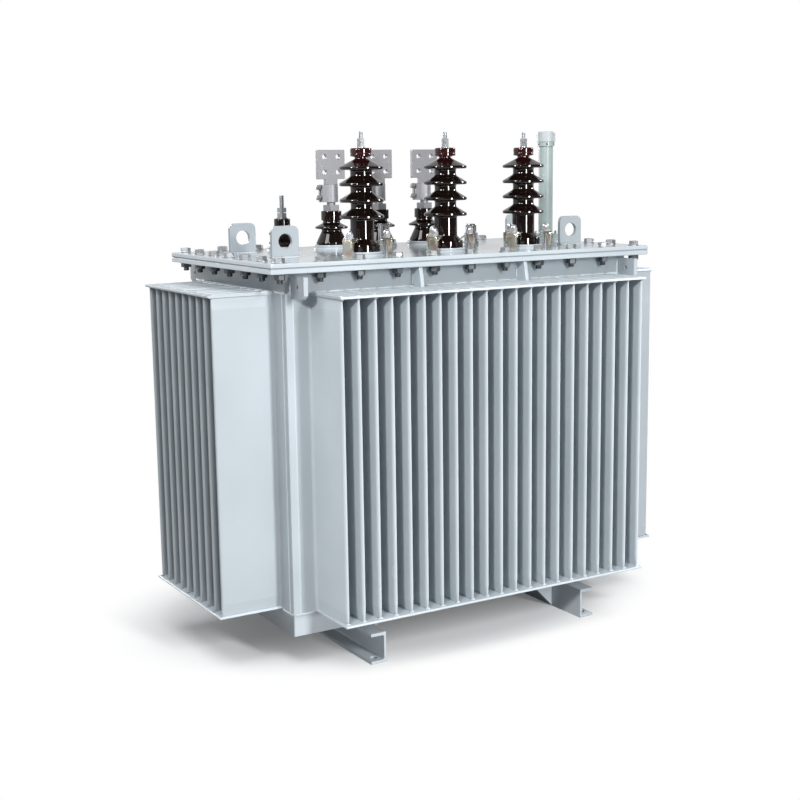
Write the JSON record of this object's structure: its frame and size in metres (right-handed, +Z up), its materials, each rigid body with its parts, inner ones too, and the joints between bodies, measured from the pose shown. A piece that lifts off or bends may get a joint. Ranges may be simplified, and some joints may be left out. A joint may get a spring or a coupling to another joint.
{
  "type": "power transformer",
  "caption": "Oil-filled power transformer with corrugated cooling fins, porcelain bushings and drilled flag terminals on a bolted cover, standing on channel skids.",
  "frame": {"origin": "centre of the tank at the level of the skid undersides", "axes": "+Z up, +X along the tank's long side, -Y towards the high voltage side"},
  "size_m": [1.378, 0.882, 1.3254],
  "materials": {
    "tank_paint": "gloss",
    "gasket_rubber": "matte",
    "brown_porcelain": "gloss",
    "yellow_zinc": "satin",
    "zinc_steel": "satin",
    "tinned_metal": "matte",
    "cap_plastic": "satin",
    "inner_mass": "matte",
    "chrome_fittings": "polished"
  },
  "bodies": {
    "root": {"back_wall": "tank_paint", "bushing_seats": "tank_paint", "cover_eye_back_left": "tank_paint", "cover_eye_back_right": "tank_paint", "cover_eye_front_left": "tank_paint", "cover_eye_front_right": "tank_paint", "cover_gasket": "gasket_rubber", "flange_ribs": "tank_paint", "front_wall": "tank_paint", "hv_bushing_1": "brown_porcelain", "hv_bushing_2": "brown_porcelain", "hv_bushing_3": "brown_porcelain", "hv_clamps_1": "yellow_zinc", "hv_clamps_2": "yellow_zinc", "hv_clamps_3": "yellow_zinc", "hv_terminal_1": "zinc_steel", "hv_terminal_2": "zinc_steel", "hv_terminal_3": "zinc_steel", "left_wall": "tank_paint", "lower_fin_plates": "tank_paint", "lv_bushing_1": "brown_porcelain", "lv_bushing_2": "brown_porcelain", "lv_bushing_3": "brown_porcelain", "lv_terminal_1": "tinned_metal", "lv_terminal_2": "tinned_metal", "lv_terminal_3": "tinned_metal", "neutral_bushing": "brown_porcelain", "neutral_terminal": "zinc_steel", "oil_tube": "tank_paint", "oil_tube_cap": "cap_plastic", "relief_valve": "chrome_fittings", "right_wall": "tank_paint", "skid_gussets": "tank_paint", "skid_left": "tank_paint", "skid_right": "tank_paint", "tank_base": "tank_paint", "tank_corners": "tank_paint", "tank_cover": "tank_paint", "tank_filling": "inner_mass", "tank_flange": "tank_paint", "tank_hooks": "tank_paint", "tank_rim": "tank_paint", "thermometer_pocket": "chrome_fittings", "upper_fin_plates": "tank_paint"}
  },
  "joints": []
}
